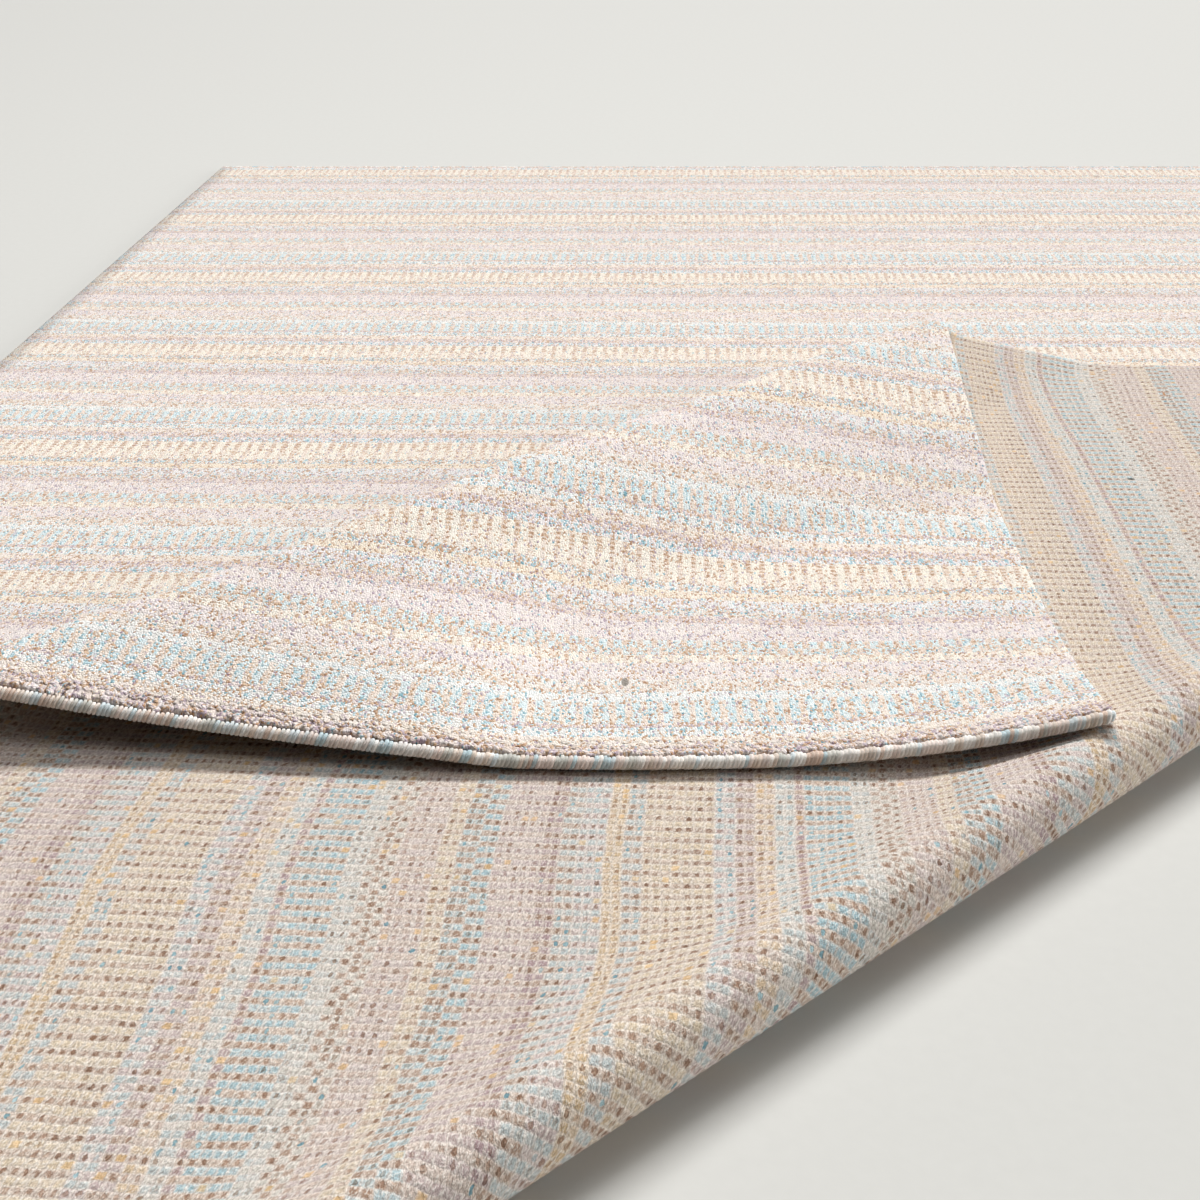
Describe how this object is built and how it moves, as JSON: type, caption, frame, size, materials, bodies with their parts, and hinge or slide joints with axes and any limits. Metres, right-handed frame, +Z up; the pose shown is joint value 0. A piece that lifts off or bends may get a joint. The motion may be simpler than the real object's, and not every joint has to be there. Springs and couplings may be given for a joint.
{
  "type": "hand-woven striped rug with one corner folded back on itself",
  "caption": "Flat rectangular striped rug with a corded end edge and one corner turned over, its tip turned back again.",
  "frame": {"origin": "on the floor, under the middle of the rug's box", "axes": "+X along the stripes, to the right; +Y up the rug, away from the end whose right corner is folded; +Z up"},
  "size_m": [1.4009, 1.9897, 0.0648],
  "materials": {
    "woven_cloth": "matt wool and cotton in small loops",
    "edge_cord": "matt wound yarn"
  },
  "bodies": {
    "root": {"rug_cloth": "woven_cloth", "near_end_cord": "edge_cord", "far_end_cord": "edge_cord"}
  },
  "joints": []
}
